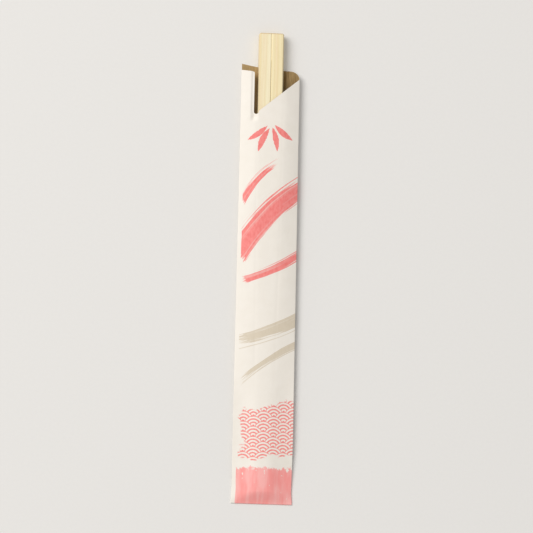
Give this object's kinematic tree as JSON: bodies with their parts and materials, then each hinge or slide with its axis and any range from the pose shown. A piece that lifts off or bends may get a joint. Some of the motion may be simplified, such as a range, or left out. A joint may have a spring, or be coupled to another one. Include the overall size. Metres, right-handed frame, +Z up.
{
  "type": "wooden chopsticks in a paper sleeve",
  "caption": "Disposable wooden chopsticks, still joined at the head and grooved for splitting, in a folded paper sleeve whose mouth has a tab, a slot and a slanting edge.",
  "frame": {"origin": "middle of the overall outline, on the surface that the sleeve's back lies on", "axes": "+Y from the tips to the joined head, +Z up from the sleeve's back to its front, +X to the right seen from the front"},
  "size_m": [0.0264, 0.2074, 0.0053],
  "materials": {
    "wood": "raw, sanded, pale",
    "paper": "uncoated, matt, white outside with a coral and warm grey print, brown inside"
  },
  "bodies": {
    "root": {"chopstick_pair": "wood", "paper_sleeve": "paper"}
  },
  "joints": []
}
